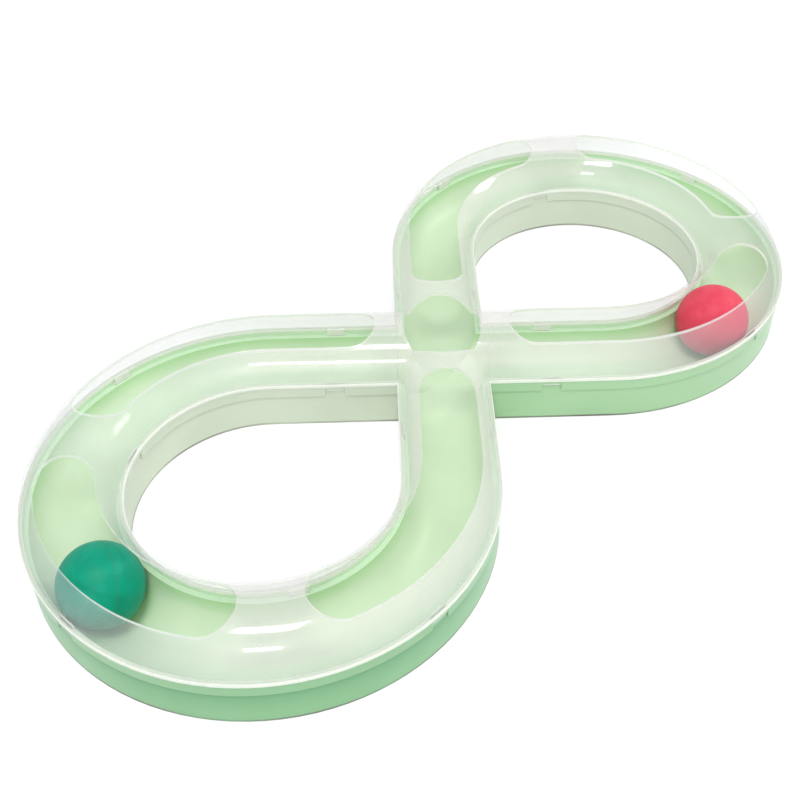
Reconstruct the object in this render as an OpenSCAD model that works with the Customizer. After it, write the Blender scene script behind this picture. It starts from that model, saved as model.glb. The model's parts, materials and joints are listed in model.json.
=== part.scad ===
// Ball track toy for cats: a figure of eight laid flat, with two balls in a tunnel.
// A tray with a round-bottomed channel carries the balls. A see-through cover stands on
// the band round the tray, arches over the channel and has slots through which a paw can
// reach the balls.
// The straight tunnels lie along X and Y and cross at the origin. Each loop is three
// quarters of a circle that joins the ends of the two tunnels on its side.
// A place on a loop is an angle round the loop's centre. The near loop has its centre
// at -X, -Y: its angles run from 90, at the end of the X tunnel, to 360, at the end of
// the Y tunnel. The far loop is the near loop turned by half a turn.

/* [Track] */
// Radius of a loop, to the middle of the channel
loop_r = 92; // [80:1:120]
// Diameter of a ball
ball_d = 40; // [36:0.5:42]
// Room between a ball and the channel, all round
ball_room = 0.8; // [0.5:0.1:1.2]

/* [Base tray] */
// Height of the channel's lowest line over the floor
channel_lift = 5.5; // [4:0.5:8]
// Thickness of the channel's shell
shell_t = 1.8; // [1.4:0.1:2]
// Thickness of the tray's outer walls
wall_t = 1.8; // [1.4:0.1:2]
// Amount by which the walls' foot stands out past their top, on each side
foot_out = 0.9; // [0.3:0.1:1.2]
// Width of the tray's ledge, from the channel to the wall's outside
edge_t = 2.6; // [2.3:0.1:3]
// Depth of the ledge below the channel's centre line
edge_drop = 2.9; // [2.6:0.1:4]
// Amount by which the band round the top stands out past the wall
band_out = 1; // [0.5:0.1:1.5]
// Thickness of the band
band_t = 1.2; // [1.1:0.1:1.6]
// Height of the band's top over the ledge
band_rise = 2.6; // [2:0.1:3]
// Depth of the band's lower edge below the ledge
band_drop = 3.6; // [2:0.1:6]

/* [Cover] */
// Thickness of the arch
cover_t = 1.6; // [1.2:0.1:2]
// Amount by which the arch's inside stands back from the channel, on each side
arch_room = 1.9; // [1.5:0.1:2.2]
// Room between a ball's top and the arch
head_room = 2; // [1.6:0.1:8]
// Width of the flat strip along the top of the arch
crown_w = 3.2; // [2.4:0.2:6]
// Gap between the band's top and the cover's lower edge
seat_gap = 0.2; // [0.1:0.05:0.4]
// Thickness of the lip along the cover's lower edge
lip_t = 1.4; // [0.8:0.1:2]
// Amount by which the lip stands out past the band
lip_out = 0.4; // [0.2:0.1:0.8]

/* [Paw slots] */
// Width of a slot
slot_w = 28.8; // [20:0.2:30]
// Distance from the crossing to the end of a slot in a straight tunnel
slot_from = 36; // [33:0.5:44]
// Angle on the loop where the slot of the X tunnel ends
slot_a_end = 162.5; // [130:0.5:165]
// Angle on the loop where the middle slot starts
slot_b_start = 180.5; // [178:0.5:200]
// Angle on the loop where the middle slot ends
slot_b_end = 267.5; // [240:0.5:270]
// Angle on the loop where the slot of the Y tunnel starts
slot_c_start = 286; // [283:0.5:310]
// Width of the hole over the crossing, along X
hole_w = 40.8; // [30:0.2:42]
// Length of the hole over the crossing, along Y
hole_l = 49.4; // [44:0.2:54]

/* [Notches and tabs] */
// Width of a notch in the band
notch_w = 10.4; // [6:0.2:14]
// Height of a notch's top over the ledge
notch_over = 1.1; // [0.2:0.1:1.6]
// Width of the cover's tab behind a notch
tab_w = 9.6; // [6:0.2:12]
// Thickness of a tab
tab_t = 1.2; // [0.8:0.1:1.6]
// Gap between a tab and the band, and between a tab and the ledge
tab_gap = 0.3; // [0.2:0.05:0.5]
// Distance from the crossing to the notches of a straight tunnel
notch_from = 58; // [50:0.5:70]
// Angle on the loop of the first outer notch; the others follow in quarter turns
notch_out = 135; // [125:1:145]
// Angle on the loop from the end of a tunnel to the nearest inner notch
notch_in = 73.5; // [60:0.5:80]

/* [Balls at rest] */
// Angle on the near loop of the green ball
green_angle = 221; // [90:0.5:360]
// Angle on the far loop of the red ball
red_angle = 133; // [90:0.5:360]
// Gap between a ball and the lowest line of the channel
ball_gap = 0.3; // [0.2:0.05:0.4]

/* [Hidden] */

$fn = 72;
// Angles on a loop at the ends of the X tunnel and of the Y tunnel
arc_start = 90;
arc_end = 360;
// Amount by which cuts run past the faces that they open
over = 1;
// Radius of the channel and height of its centre line
channel_r = ball_d / 2 + ball_room;
channel_z = channel_lift + channel_r;
// Half of the tray's outer width at the ledge and at the floor, and the ledge's height
base_half = channel_r + edge_t;
foot_half = base_half + foot_out;
base_h = channel_z - edge_drop;
// Half widths of the band's outside and inside, and its two heights
band_half = base_half + band_out;
band_in = band_half - band_t;
band_low = base_h - band_drop;
band_z = base_h + band_rise;
// Height of a notch's top
notch_z = base_h + notch_over;
// Height of a ball's centre
ball_z = channel_lift + ball_gap + ball_d / 2;
// Half of the arch's inner and outer widths, and the height of its top
cover_in = channel_r + arch_room;
cover_half = cover_in + cover_t;
cover_top = ball_z + ball_d / 2 + head_room + cover_t;
// Radius and height of the arch's outer shoulders
shoulder_r = cover_half - crown_w / 2;
shoulder_z = cover_top - shoulder_r;
// Lower edge of the cover, top of its lip, and half of the lip's width
cover_low = band_z + seat_gap;
lip_z = cover_low + lip_t;
lip_half = band_half + lip_out;
// Half widths of the tabs' outside and inside, and their lower edge
tab_half = band_in - tab_gap;
tab_in = tab_half - tab_t;
tab_z = base_h + tab_gap;
// Height from which the slots and the hole are cut upwards, inside the tunnel
slot_z = shoulder_z + crown_w / 2;
// Half of a slot's width as an angle round the loop
slot_turn = asin(slot_w / 2 / loop_r);
// Angle by which a slot's band stops short of the middle of its round end, so that their
// walls cross instead of only touching
end_short = 0.5;
// Colours of the tray, the cover and the balls
tray_colour = [0.65, 0.87, 0.62];
cover_colour = [0.9, 0.94, 0.91, 0.45];
green_colour = [0.02, 0.55, 0.43];
red_colour = [0.9, 0.22, 0.3];

// Both loops: the near one as drawn, the far one turned by half a turn
module both_loops() {
    for (turn = [0, 180]) {
        rotate([0, 0, turn]) {
            children();
        }
    }
}

// Moves what is drawn at the origin to the near loop's centre
module at_loop() {
    translate([-loop_r, -loop_r, 0]) {
        children();
    }
}

// Flat outline of the whole track, of the given half width
module track_plan(half) {
    square([2 * loop_r, 2 * half], center = true);
    square([2 * half, 2 * loop_r], center = true);
    both_loops() {
        translate([-loop_r, -loop_r]) {
            difference() {
                circle(r = loop_r + half);
                circle(r = loop_r - half);
                square([loop_r + half + over, loop_r + half + over]);
            }
        }
    }
}

// A band of the given half width, as a wall between two heights
module track_band(half, z_low, z_high) {
    translate([0, 0, z_low]) {
        linear_extrude(z_high - z_low) {
            track_plan(half);
        }
    }
}

// Carries a cross-section, drawn across the track with its height along Y, round the
// whole track
module track_sweep() {
    for (turn = [0, 90]) {
        rotate([0, 0, turn]) {
            rotate([90, 0, 90]) {
                linear_extrude(2 * loop_r, center = true) {
                    children();
                }
            }
        }
    }
    both_loops() {
        at_loop() {
            rotate([0, 0, arc_start]) {
                rotate_extrude(angle = arc_end - arc_start) {
                    translate([loop_r, 0]) {
                        children();
                    }
                }
            }
        }
    }
}

// Cross-section of the channel, or of its shell below the ledge
module channel_section(r) {
    translate([0, channel_z]) {
        circle(r = r);
    }
}

// Cross-section of all that lies within the tray's leaning walls, or within a smaller
// pair of walls that runs beyond both ends
module wall_section(inset, beyond) {
    low = foot_half - inset + foot_out * beyond / base_h;
    high = base_half - inset - foot_out * beyond / base_h;
    polygon([[-low, -beyond], [low, -beyond], [high, base_h + beyond], [-high, base_h + beyond]]);
}

module shell_section() {
    intersection() {
        channel_section(channel_r + shell_t);
        translate([-base_half, 0]) {
            square([2 * base_half, base_h]);
        }
    }
}

// Cross-section of the arch: straight sides, two round shoulders and a flat crown
module arch_section(half, r, z_low) {
    translate([-half, z_low]) {
        square([2 * half, shoulder_z - z_low]);
    }
    translate([-crown_w / 2, shoulder_z]) {
        square([crown_w, r]);
    }
    for (side = [0, 1]) {
        mirror([side, 0]) {
            translate([crown_w / 2, shoulder_z]) {
                intersection() {
                    circle(r = r);
                    square([r, r]);
                }
            }
        }
    }
}

// Wedge between two angles, for cutting a piece of a ring out
module wedge(from, to) {
    reach = 2 * loop_r;
    step = (to - from) / 3;
    polygon([
        [0, 0],
        [reach * cos(from), reach * sin(from)],
        [reach * cos(from + step), reach * sin(from + step)],
        [reach * cos(to - step), reach * sin(to - step)],
        [reach * cos(to), reach * sin(to)]
    ]);
}

// Round end of a slot on the loop, with its centre at the given angle
module slot_end(at) {
    rotate([0, 0, at]) {
        translate([loop_r, 0]) {
            circle(r = slot_w / 2);
        }
    }
}

// Part of a slot on the loop, between two angles
module slot_arc(from, to) {
    intersection() {
        difference() {
            circle(r = loop_r + slot_w / 2);
            circle(r = loop_r - slot_w / 2);
        }
        wedge(from, to);
    }
}

// Sets what belongs to the X tunnel in both tunnels of the near loop
module in_both_tunnels() {
    children();
    mirror([1, -1]) {
        children();
    }
}

// Round ends of the near loop's three slots
module slot_ends_plan() {
    in_both_tunnels() {
        translate([-slot_from - slot_w / 2, 0]) {
            circle(r = slot_w / 2);
        }
    }
    translate([-loop_r, -loop_r]) {
        slot_end(slot_a_end - slot_turn);
        slot_end(slot_b_start + slot_turn);
        slot_end(slot_b_end - slot_turn);
        slot_end(slot_c_start + slot_turn);
    }
}

// What lies between the round ends, as three bands
module slot_runs_plan() {
    in_both_tunnels() {
        translate([-loop_r, -slot_w / 2]) {
            square([loop_r - slot_from - slot_w / 2, slot_w]);
        }
    }
    translate([-loop_r, -loop_r]) {
        slot_arc(arc_start, slot_a_end - slot_turn - end_short);
        slot_arc(slot_b_start + slot_turn + end_short, slot_b_end - slot_turn - end_short);
        slot_arc(slot_c_start + slot_turn + end_short, arc_end);
    }
}

// Long round hole over the crossing
module hole_plan() {
    run = hole_l - hole_w;
    square([hole_w, run], center = true);
    for (side = [-1, 1]) {
        translate([0, side * run / 2]) {
            circle(r = hole_w / 2);
        }
    }
}

// Block across the wall on the +X side of a track that runs along Y
module wall_block(width, half_in, half_out, z_low, z_high) {
    translate([half_in, -width / 2, z_low]) {
        cube([half_out - half_in, width, z_high - z_low]);
    }
}

// Sets what is made for one wall on the outer wall of the near loop, or on its inner one
module on_outer_wall(at) {
    at_loop() {
        rotate([0, 0, at]) {
            translate([loop_r, 0, 0]) {
                children();
            }
        }
    }
}

module on_inner_wall(at) {
    at_loop() {
        rotate([0, 0, at]) {
            translate([loop_r, 0, 0]) {
                mirror([1, 0, 0]) {
                    children();
                }
            }
        }
    }
}

// Sets what is made for one wall on both walls of all four straight arms
module on_arms(from) {
    for (turn = [0, 90, 180, 270]) {
        rotate([0, 0, turn]) {
            for (side = [0, 1]) {
                mirror([side, 0, 0]) {
                    translate([0, from, 0]) {
                        children();
                    }
                }
            }
        }
    }
}

// Sets what is made for one wall at every notch
module at_notches() {
    on_arms(notch_from) {
        children();
    }
    both_loops() {
        for (quarter = [0, 90, 180]) {
            on_outer_wall(notch_out + quarter) {
                children();
            }
        }
        for (at = [arc_start + notch_in, arc_end - notch_in]) {
            on_inner_wall(at) {
                children();
            }
        }
    }
}

// Band round the tray's top, with a notch in its lower part behind which a tab shows
module notched_band() {
    difference() {
        track_band(band_half, band_low, band_z);
        track_band(band_in, band_low - over, band_z + over);
        at_notches() {
            wall_block(notch_w, band_in - over, band_half + over, band_low - over, notch_z);
        }
    }
}

// Tabs that hang from the cover inside the band and keep it in place
module tabs() {
    intersection() {
        difference() {
            track_band(tab_half, tab_z, lip_z);
            track_band(tab_in, tab_z - over, lip_z + over);
        }
        at_notches() {
            wall_block(tab_w, tab_in - over, tab_half + over, tab_z - over, lip_z + over);
        }
    }
}

// Tray: outer walls down to the floor, the channel's shell hung between them, and the
// band. It is open below, where the shell leaves room between itself and the walls.
module base_tray() {
    color(tray_colour) {
        difference() {
            union() {
                difference() {
                    track_sweep() {
                        wall_section(0, 0);
                    }
                    track_sweep() {
                        wall_section(wall_t, over);
                    }
                }
                track_sweep() {
                    shell_section();
                }
            }
            track_sweep() {
                channel_section(channel_r);
            }
        }
        notched_band();
    }
}

// Runs a flat outline up through the top of the arch
module up_through_arch() {
    translate([0, 0, slot_z]) {
        linear_extrude(cover_top + over - slot_z) {
            children();
        }
    }
}

// Closed cover: arch and lip
module closed_cover() {
    difference() {
        union() {
            track_band(lip_half, cover_low, lip_z);
            track_sweep() {
                arch_section(cover_half, shoulder_r, cover_low);
            }
        }
        track_sweep() {
            arch_section(cover_in, shoulder_r - cover_t, cover_low - over);
        }
    }
}

// Cover: the slots' ends are drilled first and the bands between them cut after, then
// come the tabs
module tunnel_cover() {
    color(cover_colour) {
        difference() {
            difference() {
                closed_cover();
                up_through_arch() {
                    both_loops() {
                        slot_ends_plan();
                    }
                    hole_plan();
                }
            }
            up_through_arch() {
                both_loops() {
                    slot_runs_plan();
                }
            }
        }
        tabs();
    }
}

// Ball at the given angle on the near loop
module ball(at) {
    at_loop() {
        rotate([0, 0, at]) {
            translate([loop_r, 0, ball_z]) {
                sphere(d = ball_d);
            }
        }
    }
}

module ball_green() {
    color(green_colour) {
        ball(green_angle);
    }
}

module ball_red() {
    color(red_colour) {
        rotate([0, 0, 180]) {
            ball(red_angle);
        }
    }
}

base_tray();
tunnel_cover();
ball_green();
ball_red();
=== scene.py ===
# %% [markdown]
# # A ball track toy for cats
# The toy is a flat figure of eight. A green tray holds a round-bottomed channel, a milky
# see-through cover arches over it, and two balls lie in the channel. All four pieces
# come from the packed model in their final shape. They could be modelled again here, but
# then two shapes would have to be kept alike. So this lesson only gives them their
# finishes, adds the small catches of the cover, and builds the floor, the lamps and the
# camera of a plain studio.
# %% Load the model
import json
import math

import bpy
from mathutils import Matrix, Vector

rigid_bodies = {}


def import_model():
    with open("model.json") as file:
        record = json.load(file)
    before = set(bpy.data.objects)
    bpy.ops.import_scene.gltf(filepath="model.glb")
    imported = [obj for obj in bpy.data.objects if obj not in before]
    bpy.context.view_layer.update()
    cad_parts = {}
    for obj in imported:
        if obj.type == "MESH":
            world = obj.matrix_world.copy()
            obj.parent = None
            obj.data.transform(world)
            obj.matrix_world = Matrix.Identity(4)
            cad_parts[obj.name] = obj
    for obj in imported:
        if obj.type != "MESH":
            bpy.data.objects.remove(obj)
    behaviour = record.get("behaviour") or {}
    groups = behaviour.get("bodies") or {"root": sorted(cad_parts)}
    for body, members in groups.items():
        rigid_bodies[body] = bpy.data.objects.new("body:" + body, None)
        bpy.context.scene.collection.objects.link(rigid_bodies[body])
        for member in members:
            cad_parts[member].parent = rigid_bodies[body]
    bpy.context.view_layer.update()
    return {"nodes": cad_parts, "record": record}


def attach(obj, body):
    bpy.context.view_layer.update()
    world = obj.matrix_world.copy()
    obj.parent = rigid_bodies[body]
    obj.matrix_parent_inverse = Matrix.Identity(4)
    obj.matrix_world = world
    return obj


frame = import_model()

# %% [markdown]
# ## The camera
# The photograph looks down on the toy at about 43 degrees, almost square to one of the
# straight tunnels. A camera could be aimed by a constraint at an empty. Here it is given
# by the point that it looks at, its direction, its distance and a slight roll, because
# each of these can be read off the photograph and mended by itself. Its focal length is
# written in millimetres of a 36 mm wide sensor.
# %% Place the camera
LOOK_AT = Vector((-0.0231, -0.0075, 0.0))
AZIMUTH, ELEVATION, ROLL = (math.radians(a) for a in (-1.13, 42.86, -0.71))
DISTANCE = 0.6428
SENSOR, IMAGE_WIDTH, FOCAL_PIXELS = 36.0, 800, 1150.6


def stand(thing, place, backwards, roll=0.0):
    """Puts a camera or a lamp at place, with its back turned that way."""
    thing.matrix_world = (Matrix.Translation(place)
                          @ backwards.to_track_quat("Z", "Y").to_matrix().to_4x4()
                          @ Matrix.Rotation(roll, 4, "Z"))


back = Vector((math.sin(AZIMUTH) * math.cos(ELEVATION),
               -math.cos(AZIMUTH) * math.cos(ELEVATION), math.sin(ELEVATION)))
camera_data = bpy.data.cameras.new("camera")
camera_data.sensor_width = SENSOR
camera_data.lens = FOCAL_PIXELS / IMAGE_WIDTH * SENSOR
camera = bpy.data.objects.new("camera", camera_data)
bpy.context.scene.collection.objects.link(camera)
stand(camera, LOOK_AT + back * DISTANCE, back, ROLL)
bpy.context.scene.camera = camera
print("lens", round(camera_data.lens, 1), "mm, camera", round(DISTANCE, 2), "m away")

# %% [markdown]
# ## Wiring nodes
# Light and finishes are nodes that are wired together. They could be placed by hand in
# the shader editor. In code they can be read from top to bottom and used again, so a
# small class adds nodes, fills their inputs, and does sums and changes of range.
# %% A helper for node trees
NOISE_SPAN = (0.3, 0.7)  # where most values of a noise lie
WHOLE_SPAN = (0.0, 1.0)


class Wiring:
    """A node tree under construction."""

    def __init__(self, owner):
        owner.use_nodes = True
        self.tree = owner.node_tree
        self.tree.nodes.clear()

    def add(self, kind, **settings):
        """Adds a node and sets its properties."""
        node = self.tree.nodes.new(kind)
        for name, value in settings.items():
            setattr(node, name, value)
        return node

    def fill(self, node, values):
        """Fills a node's inputs, each with a constant or from another node's output."""
        for key, value in values.items():
            if isinstance(value, bpy.types.NodeSocket):
                self.tree.links.new(value, node.inputs[key])
            else:
                node.inputs[key].default_value = value
        return node

    def work_out(self, operation, *values):
        """A Math node on values that are outputs or numbers."""
        node = self.add("ShaderNodeMath", operation=operation)
        return self.fill(node, dict(enumerate(values))).outputs[0]

    def spread(self, source, low, high, span=NOISE_SPAN):
        """Takes a value from the span to low..high, and no further."""
        node = self.add("ShaderNodeMapRange")
        return self.fill(node, {"Value": source, "From Min": span[0], "From Max": span[1],
                                "To Min": low, "To Max": high}).outputs["Result"]

    def split(self, vector):
        """The three parts of a vector."""
        return self.fill(self.add("ShaderNodeSeparateXYZ"), {0: vector}).outputs

    def mix(self, share, first, second):
        """Mixes two shaders, all of the first at share 0 and of the second at 1."""
        return self.fill(self.add("ShaderNodeMixShader"),
                         {"Fac": share, 1: first.outputs[0], 2: second.outputs[0]})


print("helpers:", [name for name in vars(Wiring) if not name.startswith("_")])

# %% [markdown]
# ## The studio
# A product photograph on white has soft light from nearly everywhere, and a few lamps
# that draw bright lines on glossy plastic. The soft light could come from large lamps or
# from a picture of a studio, but a plain world gives it without either. Camera rays see
# the world as pure white, and so do the rays that leave clear plastic. The soft light is
# weaker from the front, where the camera stands.
# %% Soft light from the world
WHITE, SOFT_WHITE = (1.0, 1.0, 1.0, 1.0), (0.96, 0.98, 1.0, 1.0)
FRONT_LIGHT, BACK_LIGHT = 0.61, 0.77
CLEAR_LAYERS, BOUNCES = 24, 12  # so many that the far walls show through the near ones
scene = bpy.context.scene
scene.view_settings.view_transform = "Standard"
scene.cycles.transparent_max_bounces = CLEAR_LAYERS
scene.cycles.max_bounces = BOUNCES

world = bpy.data.worlds.new("studio")
scene.world = world
sky = Wiring(world)
ray = sky.add("ShaderNodeLightPath").outputs
seen = sky.work_out("MAXIMUM", ray["Is Camera Ray"], ray["Is Transmission Ray"])
_, to_the_back, _ = sky.split(sky.add("ShaderNodeTexCoord").outputs["Generated"])
strength = sky.spread(to_the_back, FRONT_LIGHT, BACK_LIGHT, (-1.0, 1.0))
soft = sky.fill(sky.add("ShaderNodeBackground"), {"Color": SOFT_WHITE, "Strength": strength})
white = sky.fill(sky.add("ShaderNodeBackground"), {"Color": WHITE, "Strength": 1.0})
sky.fill(sky.add("ShaderNodeOutputWorld"), {"Surface": sky.mix(seen, soft, white).outputs[0]})
print("soft light from", FRONT_LIGHT, "in front to", BACK_LIGHT, "at the back")

# %% [markdown]
# Three soft rectangular lamps stand round the toy. Their places decide where the bright
# lines on the bends and along the left tunnel fall, so they were moved until these lines
# lay about as in the photograph. A sun lamp would draw them too thin.
# %% Lamps
# Each lamp has its place and its size in metres, and its power in watts.
LAMPS = {"high_lamp": ((-0.1, -0.55, 1.5), (0.45, 0.3), 9.9),
         "front_lamp": ((-0.1, -1.6, 1.0), (0.4, 0.2), 5.2),
         "side_lamp": ((1.3, 0.5, 0.9), (0.4, 0.4), 6.2)}
SHINE_AT = Vector((0.0, 0.0, 0.02))
for name, (place, size, power) in LAMPS.items():
    lamp_data = bpy.data.lights.new(name, "AREA")
    lamp_data.shape = "RECTANGLE"
    lamp_data.size, lamp_data.size_y = size
    lamp_data.energy = power
    lamp = bpy.data.objects.new(name, lamp_data)
    scene.collection.objects.link(lamp)
    stand(lamp, Vector(place), Vector(place) - SHINE_AT)
print("lamps:", list(LAMPS))

# %% [markdown]
# ## The floor
# The floor is a large pale sheet. It could be a shadow catcher, but other views need a
# floor that shows. To the camera half of it glows, which makes it nearly white, and what
# is left of its own shading is the thin shadow under the toy's edges.
# %% Lay the floor
FLOOR_SIZE, FLOOR_DROP = 8.0, 0.0002
PAPER, GLOW_SHARE, GLOW = (0.86, 0.86, 0.86, 1.0), 0.5, 1.25
for thing in bpy.context.selected_objects:
    thing.select_set(False)
bpy.ops.mesh.primitive_plane_add(size=FLOOR_SIZE, location=(0.0, 0.0, -FLOOR_DROP))
floor = bpy.context.object
floor.name = "floor"
paper = bpy.data.materials.new("white_paper")
sheet = Wiring(paper)
seen = sheet.add("ShaderNodeLightPath").outputs["Is Camera Ray"]
matt = sheet.fill(sheet.add("ShaderNodeBsdfDiffuse"), {"Color": PAPER})
glow = sheet.fill(sheet.add("ShaderNodeEmission"), {"Color": WHITE, "Strength": GLOW})
paper_mix = sheet.mix(sheet.work_out("MULTIPLY", seen, GLOW_SHARE), matt, glow)
sheet.fill(sheet.add("ShaderNodeOutputMaterial"), {"Surface": paper_mix.outputs[0]})
floor.data.materials.append(paper)
print("floor laid", FLOOR_DROP * 1000, "mm below the tray")

# %% [markdown]
# ## Starting a finish
# Every finish starts from the same few nodes: the piece's own coordinates in metres, a
# noise of some grain size, a mix of two colours, and a bump. Image textures could do the
# same, but they have edges and a fixed scale. The grain size is given in millimetres,
# because that is how one would measure it on the toy.
# %% Helpers for every finish
MM = 1000.0  # millimetres in a metre


def srgb(red, green, blue):
    """A colour as it is read off a screen, 0 to 255, made linear for the shader."""
    parts = [c / 255 for c in (red, green, blue)]
    linear = [c / 12.92 if c <= 0.04045 else ((c + 0.055) / 1.055) ** 2.4 for c in parts]
    return (*linear, 1.0)


class Finish(Wiring):
    """A node material under construction. Its place is the piece's own coordinates."""

    def __init__(self, name):
        self.material = bpy.data.materials.new(name)
        super().__init__(self.material)
        self.place = self.add("ShaderNodeTexCoord").outputs["Object"]

    def noise(self, grain_mm, detail=2.0, stretch=None):
        """Noise with grains of that size, from 0 to 1 with most of it near 0.5."""
        source = self.place
        if stretch:
            mapping = self.fill(self.add("ShaderNodeMapping"),
                                {"Vector": source, "Scale": stretch})
            source = mapping.outputs["Vector"]
        node = self.add("ShaderNodeTexNoise")
        return self.fill(node, {"Scale": MM / grain_mm, "Detail": detail,
                                "Vector": source}).outputs["Fac"]

    def blend(self, factor, first, second):
        """Mixes two colours, each an output or a constant. The Mix node has sockets for
        several kinds of value, and those of colours are inputs 6 and 7 and output 2."""
        node = self.add("ShaderNodeMix", data_type="RGBA")
        return self.fill(node, {0: factor, 6: first, 7: second}).outputs[2]

    def relief(self, source, depth_mm, after=None):
        """A bump of that depth, on top of another one if given."""
        node = self.fill(self.add("ShaderNodeBump"),
                         {"Height": source, "Distance": depth_mm / MM, "Strength": 1.0})
        if after is not None:
            self.fill(node, {"Normal": after})
        return node.outputs["Normal"]

    def wear_on(self, node, shader):
        """Ends the tree with the shader and puts it in every slot of a node."""
        self.fill(self.add("ShaderNodeOutputMaterial"), {"Surface": shader.outputs[0]})
        piece = frame["nodes"][node]
        for slot in piece.material_slots:
            slot.material = self.material
        print(node, "wears", self.material.name, "on", len(piece.data.polygons), "faces")


print("a middle grey of 128 is", round(srgb(128, 128, 128)[0], 3), "to the shader")

# %% [markdown]
# ## Where a point of the track lies
# Most differences in colour follow the track's cross-section: its channel, ledge, walls
# and band. They could be painted face by face, but then they would end at the faces'
# edges. So each point works out its height over the floor and its distance across the
# track. On a loop that distance is measured from the loop's centre. Along a straight
# tunnel the larger of the point's two coordinates from that centre takes its place. The
# loops' radius comes from the record: a ball's hinge stands at its loop's centre.
# %% Height and distance across the track
hinge = next(j for j in frame["record"]["behaviour"]["joints"] if j["type"] == "hinge")
LOOP_R = abs(hinge["pos_m"][0])


def height_mm(finish):
    """Height over the floor."""
    return finish.work_out("MULTIPLY", finish.split(finish.place)[2], MM)


def across_mm(finish):
    """Distance from the channel's middle line, below 0 towards the loop's inside and
    above 0 towards its outside."""
    x, y, _ = finish.split(finish.place)
    side = finish.work_out("SIGN", finish.work_out("ADD", x, y))
    x, y = (finish.work_out("SUBTRACT", LOOP_R, finish.work_out("MULTIPLY", side, part))
            for part in (x, y))
    ring = finish.work_out("POWER", finish.work_out(
        "ADD", finish.work_out("POWER", x, 2.0), finish.work_out("POWER", y, 2.0)), 0.5)
    corner = finish.work_out("MAXIMUM", x, y)
    straight = finish.work_out("GREATER_THAN", finish.work_out("MINIMUM", x, y), 0.0)
    reach = finish.fill(finish.add("ShaderNodeMix", data_type="FLOAT"),
                        {0: straight, 2: ring, 3: corner}).outputs[0]  # for numbers
    return finish.work_out("MULTIPLY", finish.work_out("SUBTRACT", reach, LOOP_R), MM)


print("the loops have a radius of", LOOP_R, "m")

# %% [markdown]
# ## The tray: pale green moulded plastic
# The tray is satin polypropylene. One colour would do for a new sample seen from afar.
# Seen close, its channel is thin, lit from both sides and pale. Its upper sides are deeper
# green, partly in the plastic and partly painted shade under the cover's edge, and its
# creases get painted shade in deeper green. The ledge beside the cover is painted almost
# white, as painted light.
#
# Here and below, the end of a zone is named as a pair of millimetres: where the change
# begins, and where it is complete. Pairs that measure something else have a comment.
# %% Colours of the channel
CHANNEL = srgb(199, 221, 186), srgb(208, 228, 197)
UPPER_SIDE_SHADE, CREASE_SHADE, LEDGE_LIGHT = srgb(168, 217, 152), srgb(128, 200, 112), srgb(216, 240, 210)
SIDES_DEEPEN, CREASES_FADE, LEDGE_STARTS = (16.5, 23.0), (12.0, 20.0), (23.2, 23.35)
UPPER_SHADE_SHARE, CREASE_SHADE_SHARE, LEDGE_LIGHT_SHARE = 0.7, 0.9, 0.85
DRIFT_GRAIN, CREASE_REACH = 45.0, 9.0
DEEPEST = 0.8
OPENNESS = (0.2, 0.75)  # the share of the space round a point that is open


def shade_in_hollows(finish, reach_mm):
    """How much painted shade a point gets for lying deep in a crease, and 0 on open faces."""
    node = finish.fill(finish.add("ShaderNodeAmbientOcclusion", samples=8),
                       {"Distance": reach_mm / MM})
    return finish.spread(node.outputs["AO"], DEEPEST, 0.0, OPENNESS)


tray = Finish("tray_plastic")
drift = tray.spread(tray.noise(DRIFT_GRAIN), 0.0, 1.0)
height = height_mm(tray)
channel = tray.blend(drift, *CHANNEL)
# Painted shade: the upper sides turn deeper green under the cover's edge.
shaded_upper_sides = tray.spread(height, 0.0, UPPER_SHADE_SHARE, SIDES_DEEPEN)
channel = tray.blend(shaded_upper_sides, channel, UPPER_SIDE_SHADE)
# Painted shade: the creases turn deeper green.
shade_in_creases = tray.work_out("MULTIPLY", shade_in_hollows(tray, CREASE_REACH),
                     tray.spread(height, CREASE_SHADE_SHARE, 0.0, CREASES_FADE))
channel = tray.blend(shade_in_creases, channel, CREASE_SHADE)
# Painted light: the ledge turns almost white.
lit_ledge = tray.spread(height, 0.0, LEDGE_LIGHT_SHARE, LEDGE_STARTS)
channel = tray.blend(lit_ledge, channel, LEDGE_LIGHT)
print("the channel's colour takes", len(tray.tree.nodes), "nodes")

# %% [markdown]
# ### The walls
# The outer walls stand hollow over a dark space, so they look deep green: partly their own
# green and partly painted shade. The wall under the near loop is the deepest, and painted
# shadow from the band darkens it upwards; further back it is painted paler, as painted light.
# The proud band is paler, and the walls round the open middles of the loops are painted pale,
# as painted bounce light from the white floor inside them. The render's light makes some of
# this, and the rest is painted.
# %% Colours of the walls
# The near and far wall colours carry painted shade and painted light on the outer walls' own
# green.
NEAR_FOOT_SHADED, NEAR_TOP_SHADOW = (srgb(133, 187, 136), srgb(141, 192, 143)), srgb(109, 171, 119)
FAR_WALL_LIT, BAND = (srgb(162, 202, 156), srgb(169, 207, 162)), srgb(168, 208, 162)
INNER_WALL_BOUNCE_LIT = srgb(204, 215, 194), srgb(210, 220, 200)
SHADOW_DEEPENS, BAND_STARTS, BAND_SHARE = (5.0, 19.6), (19.7, 19.9), 0.5
NEAR_TO_FAR = (-0.15, -0.03)  # in metres
BAND_FACE, WALL_FACE, BELOW_LEDGE = (23.5, 23.9), (22.0, 22.4), (23.1, 23.3)


def past_wall(finish, across, height):
    """1 on the outer faces of a wall and of its band, 0 on the channel's side."""
    wall = finish.work_out("MULTIPLY", finish.spread(across, 0.0, 1.0, WALL_FACE),
                           finish.spread(height, 1.0, 0.0, BELOW_LEDGE))
    return finish.work_out("MAXIMUM", finish.spread(across, 0.0, 1.0, BAND_FACE), wall)


across = across_mm(tray)
_, depth, _ = tray.split(tray.place)
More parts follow.
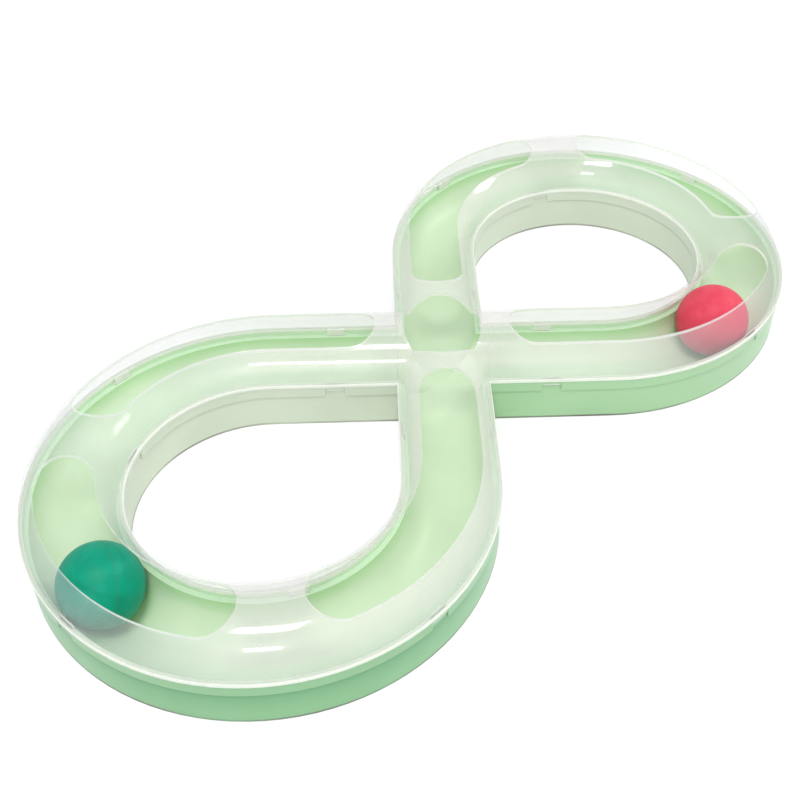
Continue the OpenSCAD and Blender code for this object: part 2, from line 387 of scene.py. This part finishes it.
# Painted shadow: the near wall darkens upwards under the band.
shadow_upwards = tray.spread(height, 0.0, 1.0, SHADOW_DEEPENS)
shaded_near_wall = tray.blend(shadow_upwards, tray.blend(drift, *NEAR_FOOT_SHADED), NEAR_TOP_SHADOW)
lit_far_wall = tray.blend(drift, *FAR_WALL_LIT)
# Painted light: the outer walls are paler further back, and painted shade keeps the near wall
# deep.
outer = tray.blend(tray.spread(depth, 0.0, 1.0, NEAR_TO_FAR), shaded_near_wall, lit_far_wall)
outer = tray.blend(tray.spread(height, 0.0, BAND_SHARE, BAND_STARTS), outer, BAND)
on_outer = past_wall(tray, across, height)
on_inner = past_wall(tray, tray.work_out("MULTIPLY", across, -1.0), height)
green = tray.blend(on_outer, channel, outer)
# Painted bounce light: the walls round the loops' open middles are pale.
green = tray.blend(on_inner, green, tray.blend(drift, *INNER_WALL_BOUNCE_LIT))
print("with the walls it takes", len(tray.tree.nodes), "nodes")

# %% [markdown]
# ### Painted highlights and shadows
# Edges get a painted highlight, a paler line where they catch the light. They could be
# found from the mesh, but its faces are loose triangles, so the Bevel node finds them: where
# its rounded normal turns away from the face's own, there is an edge. Painted shadow under
# the band is a deep green line, and a dark uneven line of painted contact shadow runs along
# the foot, where the tray meets the floor.
# %% Painted edge highlights, the shadow under the band and the contact shadow at the foot
EDGE_HIGHLIGHT, BAND_SHADOW, CONTACT_SHADOW = srgb(220, 235, 214), srgb(84, 166, 108), srgb(104, 92, 92)
EDGE_WIDTH, EDGE_HIGHLIGHT_SHARE = 0.5, 0.3
EDGE_LIKENESS = (0.8, 0.99)  # of the two normals: 1 where they are the same
BAND_SHADOW_REACH, FOOT_ENDS = 2.5, (0.8, 1.4)
FOOT_PATCHES, FAINTEST_FOOT = 60.0, 0.2


def rounded(finish, radius_mm):
    """A normal that rounds the piece's edges off."""
    return finish.fill(finish.add("ShaderNodeBevel", samples=6),
                       {"Radius": radius_mm / MM}).outputs["Normal"]


face_normal = tray.add("ShaderNodeNewGeometry").outputs["Normal"]
likeness = tray.fill(tray.add("ShaderNodeVectorMath", operation="DOT_PRODUCT"),
                     {0: rounded(tray, EDGE_WIDTH), 1: face_normal}).outputs["Value"]
# Painted highlight: the edges are paler.
highlighted_edges = tray.spread(likeness, EDGE_HIGHLIGHT_SHARE, 0.0, EDGE_LIKENESS)
green = tray.blend(highlighted_edges, green, EDGE_HIGHLIGHT)
# Painted shadow: a deep green line in the crease under the band.
shadow_under_band = tray.work_out("MULTIPLY", shade_in_hollows(tray, BAND_SHADOW_REACH), on_outer)
green = tray.blend(shadow_under_band, green, BAND_SHADOW)
# Painted contact shadow: a dark uneven line along the foot.
shadow_at_foot = tray.work_out("MULTIPLY", tray.spread(height, 1.0, 0.0, FOOT_ENDS),
                     tray.spread(tray.noise(FOOT_PATCHES), FAINTEST_FOOT, 1.0))
green = tray.blend(shadow_at_foot, green, CONTACT_SHADOW)
print("with its wear it takes", len(tray.tree.nodes), "nodes")

# %% [markdown]
# ### Surface
# Moulded plastic is satin with patches that shine more, has a fine grain, and is never
# quite flat. All three are noise, each of its own size. The same relief in the mesh
# would cost millions of faces and look no better.
# %% Surface of the tray
SHINE_PATCHES, SATIN = 8.0, (0.34, 0.46)  # SATIN is a pair of roughnesses
GRAIN, GRAIN_DEPTH, SOFT_EDGE = 0.7, 0.012, 0.25
WAVE, WAVE_DEPTH = 22.0, 0.10
grain = tray.relief(tray.noise(GRAIN, detail=3.0), GRAIN_DEPTH, rounded(tray, SOFT_EDGE))
skin = tray.fill(tray.add("ShaderNodeBsdfPrincipled"), {
    "Base Color": green,
    "Roughness": tray.spread(tray.noise(SHINE_PATCHES, detail=4.0), *SATIN),
    "Normal": tray.relief(tray.noise(WAVE, detail=1.0), WAVE_DEPTH, grain),
    "IOR": 1.49, "Sheen Weight": 0.3, "Sheen Roughness": 0.4})
tray.wear_on("base_tray", skin)

# %% [markdown]
# ## The cover: milky see-through plastic
# The cover is nearly clear but cloudy. It could be glass with a cloudy volume inside,
# but that is slow and noisy, and the exported model would lose it. Here each face lets a
# share of the light straight through and scatters the rest as thin milk does: some of it
# back, which makes the gloss and a cool veil, and some of it onwards.
#
# First come the zones: the lip and the tabs low down, the cut faces of the slots, the
# steep sides, and both ends of the toy, where there is less milk, so that the balls keep
# their colour under it.
# %% Zones of the cover
LIP_ENDS, SLOTS_START, STEEP_SIDES = (28.0, 28.3), (30.0, 31.0), (20.5, 23.0)
ENDS = (95.0, 145.0)
UPRIGHT = (0.05, 0.15)  # the upward part of a normal: 0 on an upright face
cover = Finish("cover_plastic")
x_from_middle, y_from_middle = (
    cover.work_out("MULTIPLY", cover.work_out("ABSOLUTE", part), MM)
    for part in cover.split(cover.place)[:2])
ends = cover.spread(x_from_middle, 0.0, 1.0, ENDS)
height = height_mm(cover)
low = cover.spread(height, 1.0, 0.0, LIP_ENDS)
_, _, upwards = cover.split(cover.add("ShaderNodeNewGeometry").outputs["True Normal"])
upright = cover.spread(cover.work_out("ABSOLUTE", upwards), 1.0, 0.0, UPRIGHT)
cut = cover.work_out("MULTIPLY", upright, cover.spread(height, 0.0, 1.0, SLOTS_START))
edge = cover.work_out("MAXIMUM", low, cut)
aside = cover.work_out("ABSOLUTE", across_mm(cover))
sides = cover.spread(aside, 0.0, 1.0, STEEP_SIDES)
print("the cover's zones take", len(cover.tree.nodes), "nodes")

# %% [markdown]
# ### Marks of the mould
# Where the straight tunnels meet the crossing, a fine raised line of the mould runs over
# the arch, and a small mark on the near bend shows where the plastic was let in. They
# could be modelled, but they are thinner than the cover's facets, so a bump is enough.
# The arch also has soft waves, where the plastic flowed.
# %% Seams, gate mark and waves
SEAM_AT, SEAM_HALF, SEAM_REACH, SEAM_DEPTH = 24.4, 0.2, (24.0, 24.6), 0.15
GATE_AT, GATE_EDGE, GATE_DEPTH = (-0.0852, -0.20005, 0.04397), (0.5, 0.9), 0.3
FLOW, FLOW_STRETCH, FLOW_DEPTH = 30.0, (1.0, 1.0, 3.0), 0.05


def line(finish, source, half_mm):
    """1 where the value is within that distance of 0, fading to 0 at its double."""
    return finish.spread(finish.work_out("ABSOLUTE", source), 1.0, 0.0,
                         (half_mm, 2.0 * half_mm))


seam = line(cover, cover.work_out("SUBTRACT", x_from_middle, SEAM_AT), SEAM_HALF)
seam = cover.work_out("MULTIPLY", seam, cover.spread(y_from_middle, 1.0, 0.0, SEAM_REACH))
gap = cover.fill(cover.add("ShaderNodeVectorMath", operation="DISTANCE"),
                 {0: cover.place, 1: GATE_AT}).outputs["Value"]
gate = cover.spread(cover.work_out("MULTIPLY", gap, MM), 1.0, 0.0, GATE_EDGE)
flow = cover.noise(FLOW, detail=1.0, stretch=FLOW_STRETCH)
marks = cover.relief(gate, GATE_DEPTH, cover.relief(flow, FLOW_DEPTH))
marks = cover.relief(seam, SEAM_DEPTH, marks)
print("with the mould's marks they take", len(cover.tree.nodes), "nodes")

# %% [markdown]
# ### The milk
# The veil is faintly pink on the crown, minty on the steep sides, bluish towards the
# ends and plain on the edges. Only the milk carries the gloss here, so its coat reflects
# more strongly than real plastic. The light that goes onwards makes the cover glow over
# the bright tray but not over the darker balls, so there is more of it towards the ends.
# %% Milk that scatters light back and onwards
MILK, SIDE_MILK = (srgb(248, 240, 246), srgb(255, 247, 252)), srgb(230, 242, 235)
END_MILK, EDGE_MILK = srgb(234, 240, 255), srgb(248, 250, 240)
PASSED_ON, SIDE_PASSED_ON = srgb(255, 243, 250), srgb(246, 252, 247)
ONWARDS, ONWARDS_AT_ENDS = 0.15, 0.55
CLOUD_GRAIN, GLOSS_PATCHES, GLOSS = 60.0, 12.0, (0.22, 0.34)  # GLOSS: roughnesses
veil = cover.blend(cover.spread(cover.noise(CLOUD_GRAIN), 0.0, 1.0), *MILK)
veil = cover.blend(sides, veil, SIDE_MILK)
veil = cover.blend(ends, veil, END_MILK)
milk = cover.fill(cover.add("ShaderNodeBsdfPrincipled"), {
    "Base Color": cover.blend(edge, veil, EDGE_MILK),
    "Roughness": cover.spread(cover.noise(GLOSS_PATCHES, detail=4.0), *GLOSS),
    "Normal": marks, "IOR": 1.5,
    "Coat Weight": 1.0, "Coat Roughness": 0.09, "Coat IOR": 2.0})
tint = cover.blend(cover.work_out("MAXIMUM", sides, edge), PASSED_ON, SIDE_PASSED_ON)
onwards = cover.fill(cover.add("ShaderNodeBsdfTranslucent"), {"Color": tint})
above_lip = cover.work_out("SUBTRACT", 1.0, low)
passing = cover.spread(cover.work_out("MULTIPLY", ends, above_lip),
                       ONWARDS, ONWARDS_AT_ENDS, WHOLE_SPAN)
scatter = cover.mix(passing, milk, onwards)
print("with the milk they take", len(cover.tree.nodes), "nodes")

# It is larger on the marks of the mould, and largest on the edges, where one looks deep
# into the plastic. %% Share of milk
MIDDLE_SHARE, END_SHARE, MOST = 0.225, 0.15, 0.25
CLOUDLET_GRAIN, CLOUDLETS, SLANTED = 16.0, 0.02, 0.08
SLANT_SPAN = (0.1, 0.8)  # of the Facing output: 0 seen straight on, 1 along the wall
CLEAR = (0.99, 0.985, 0.985, 1.0)
ZONE_SHARES = ((low, 0.85), (cut, 0.8), (seam, 0.3), (gate, 0.6))
slant = cover.fill(cover.add("ShaderNodeLayerWeight"), {"Blend": 0.35}).outputs["Facing"]
cloudlets = cover.spread(cover.noise(CLOUDLET_GRAIN), 0.0, CLOUDLETS)
share = cover.spread(ends, MIDDLE_SHARE, END_SHARE, WHOLE_SPAN)
share = cover.work_out("ADD", share, cloudlets)
share = cover.work_out("ADD", share, cover.spread(slant, 0.0, SLANTED, SLANT_SPAN))
share = cover.work_out("MINIMUM", share, MOST)
for zone, zone_share in ZONE_SHARES:
    share = cover.work_out("MAXIMUM", share, cover.work_out("MULTIPLY", zone, zone_share))
clear = cover.fill(cover.add("ShaderNodeBsdfTransparent"), {"Color": CLEAR})
cover.wear_on("tunnel_cover", cover.mix(share, clear, scatter))

# %% [markdown]
# ## The catches
# In every notch of the tray's band sits a small catch of the cover, the white strip that
# shows in the photograph. It is a rounded block on the foot of a tab. It could be part
# of the packed cover, but there it would cut the band when the stiff cover is lifted,
# while the real one bends. A catch stands 23.6 mm off the middle line of the channel. On
# the straight tunnels it is 58 mm from the crossing, and on the loops it stands at one of
# the angles below, in degrees round the loop's centre. It is placed by its middle and by
# the direction of its wall. Its sizes are in metres, as the model is.
# %% Find the notches
CATCH_AT, NOTCH_FROM = 0.0236, 0.058
OUTER_NOTCHES, INNER_NOTCHES = (135.0, 225.0, 315.0), (163.5, 286.5)
notches = []
for side in (1.0, -1.0):
    for wall in (1.0, -1.0):
        notches.append((side * NOTCH_FROM, wall * CATCH_AT, 0.0))
        notches.append((wall * CATCH_AT, side * NOTCH_FROM, math.pi / 2))
    for reach, angles in ((LOOP_R + CATCH_AT, OUTER_NOTCHES),
                          (LOOP_R - CATCH_AT, INNER_NOTCHES)):
        for angle in map(math.radians, angles):
            x, y = (side * (reach * way(angle) - LOOP_R) for way in (math.cos, math.sin))
            notches.append((x, y, angle + math.pi / 2))
print(len(notches), "notches")

# %% Make the catches
CATCH, CATCH_HEIGHT = Vector((0.0094, 0.0014, 0.00082)), 0.02396
ROUNDING, ROUNDING_STEPS = 0.0002, 3
for x, y, turned in notches:
    bpy.ops.mesh.primitive_cube_add(size=1.0, location=(x, y, CATCH_HEIGHT),
                                    rotation=(0.0, 0.0, turned))
    bpy.context.object.scale = CATCH
    bpy.context.object.name = "catch_part"
for thing in bpy.data.objects:
    if thing.name.startswith("catch_part"):
        thing.select_set(True)
bpy.ops.object.join()
catches = bpy.context.object
catches.name = "cover_catches"
bpy.ops.object.transform_apply(location=True, rotation=True, scale=True)
rounding = catches.modifiers.new("rounding", "BEVEL")
rounding.width = ROUNDING
rounding.segments = ROUNDING_STEPS
bpy.ops.object.modifier_apply(modifier="rounding")
catches.data.materials.append(cover.material)
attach(catches, "cover")
print(len(notches), "catches with", len(catches.data.polygons), "faces")

# %% [markdown]
# ## The balls: matt rubber
# Both balls are the same rubber in two colours, matt with a fine grain, slightly mottled
# and scuffed paler in places. A faint mould line runs round each ball, in the plane
# through its middle that is square to a given direction. It could be a groove in the
# mesh, but it is finer than the ball's faces.
# %% Finish of the balls
MOTTLE, SCUFF, SCUFF_SHARE = 7.0, 9.0, 0.14
SCUFF_SPAN = (0.52, 0.68)  # only the highest part of the noise is a scuff
MOULD_LINE, MOULD_HALF, MOULD_SHARE, MOULD_DEPTH = srgb(90, 60, 60), 0.25, 0.14, 0.08
PITS, PIT_DEPTH, MATT_PATCHES, MATT = 0.8, 0.04, 2.5, (0.38, 0.5)  # MATT: roughnesses


def rubber(node, dark, light, scuffed, seam_way):
    """Matt coloured rubber with a fine grain and a mould line round the ball."""
    ball = Finish(node + "_rubber")
    corners = [Vector(corner) for corner in frame["nodes"][node].bound_box]
    middle = sum(corners, Vector()) / len(corners)
    tone = ball.blend(ball.spread(ball.noise(MOTTLE, detail=4.0), 0.0, 1.0), dark, light)
    scuffs = ball.spread(ball.noise(SCUFF, detail=5.0), 0.0, SCUFF_SHARE, SCUFF_SPAN)
    tone = ball.blend(scuffs, tone, scuffed)
    off_middle = ball.fill(ball.add("ShaderNodeVectorMath", operation="SUBTRACT"),
                           {0: ball.place, 1: middle}).outputs[0]
    along = ball.fill(ball.add("ShaderNodeVectorMath", operation="DOT_PRODUCT"),
                      {0: off_middle, 1: Vector(seam_way).normalized()}).outputs["Value"]
    mould = line(ball, ball.work_out("MULTIPLY", along, MM), MOULD_HALF)
    tone = ball.blend(ball.work_out("MULTIPLY", mould, MOULD_SHARE), tone, MOULD_LINE)
    pits = ball.relief(ball.noise(PITS, detail=3.0), PIT_DEPTH)
    skin = ball.fill(ball.add("ShaderNodeBsdfPrincipled"), {
        "Base Color": tone,
        "Roughness": ball.spread(ball.noise(MATT_PATCHES), *MATT),
        "Normal": ball.relief(mould, MOULD_DEPTH, pits),
        "Specular IOR Level": 0.18})
    ball.wear_on(node, skin)


GREENS = srgb(0, 141, 110), srgb(0, 152, 120), srgb(40, 170, 142)
REDS = srgb(217, 64, 84), srgb(226, 76, 96), srgb(233, 112, 126)
rubber("ball_green", *GREENS, seam_way=(0.83, 0.41, -0.38))
rubber("ball_red", *REDS, seam_way=(0.1, -0.7, 0.7))
